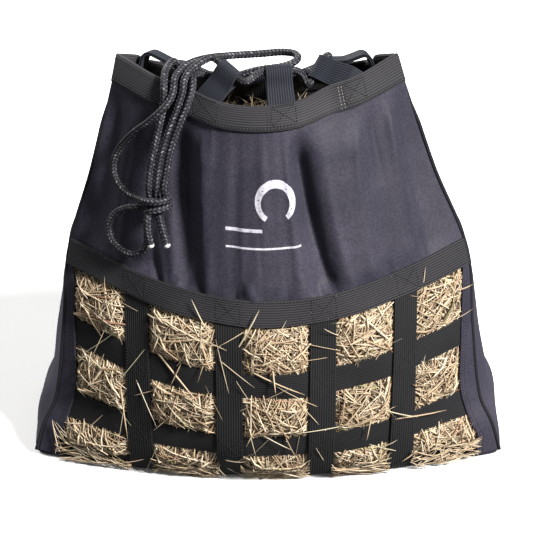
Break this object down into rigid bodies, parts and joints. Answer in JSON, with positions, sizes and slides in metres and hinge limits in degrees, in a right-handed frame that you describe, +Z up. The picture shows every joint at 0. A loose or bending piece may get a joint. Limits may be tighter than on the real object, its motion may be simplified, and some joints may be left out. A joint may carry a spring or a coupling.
{
  "type": "hay net bag",
  "caption": "Filled hay bag standing on its base: cloth body, webbing feed net across the lower front, webbing-bound mouth with cord tabs and a knotted drawcord.",
  "frame": {"origin": "middle of the base panel's underside, on the floor that the bag stands on", "axes": "+Z up, -Y towards the feeding side with the net, +X to the right as seen from the feeding side"},
  "size_m": [0.6948, 0.3587, 0.6054],
  "materials": {
    "cloth": "dense woven polyester, soft sheen",
    "webbing": "ribbed polypropylene webbing, matt",
    "piping": "folded cloth seam binding",
    "cord": "braided cord with pale flecks",
    "cord_tip": "melted cord end",
    "hay": "dry loose stalks"
  },
  "bodies": {
    "bag": {"base_panel": "cloth", "hay_fill": "hay", "front_panel": "cloth", "back_panel": "cloth", "side_panel_left": "cloth", "side_panel_right": "cloth", "net_edge_left": "cloth", "net_edge_right": "cloth", "net_strap_upper": "webbing", "net_strap_lower": "webbing", "net_edge_base": "webbing", "net_strap_vertical_1": "webbing", "net_strap_vertical_2": "webbing", "net_strap_vertical_3": "webbing", "net_strap_vertical_4": "webbing", "front_band": "webbing", "rim_binding_front": "webbing", "rim_binding_back": "webbing", "rim_binding_left": "webbing", "rim_binding_right": "webbing", "seam_piping_front_left": "piping", "seam_piping_front_right": "piping", "seam_piping_back_left": "piping", "seam_piping_back_right": "piping", "cord_tab_1": "webbing", "cord_tab_2": "webbing", "cord_tab_3": "webbing", "cord_tab_4": "webbing", "cord_tab_5": "webbing", "cord_tab_6": "webbing", "drawcord_rim": "cord", "drawcord_from_left_tab": "cord", "drawcord_from_front_tab": "cord", "drawcord_bight": "cord"},
    "cord_tail": {"drawcord_loop": "cord", "drawcord_fall_1": "cord", "drawcord_fall_2": "cord", "drawcord_fall_3": "cord", "drawcord_lower_loop": "cord", "drawcord_end_left": "cord", "drawcord_end_right": "cord", "drawcord_knot": "cord", "drawcord_tip_left": "cord_tip", "drawcord_tip_right": "cord_tip"}
  },
  "joints": [
    {"name": "cord_tail_swing", "type": "hinge", "parent": "bag", "child": "cord_tail", "pos_m": [-0.12, -0.048, 0.577], "axis": [-1, 0, 0], "range_deg": [0, 90]}
  ]
}
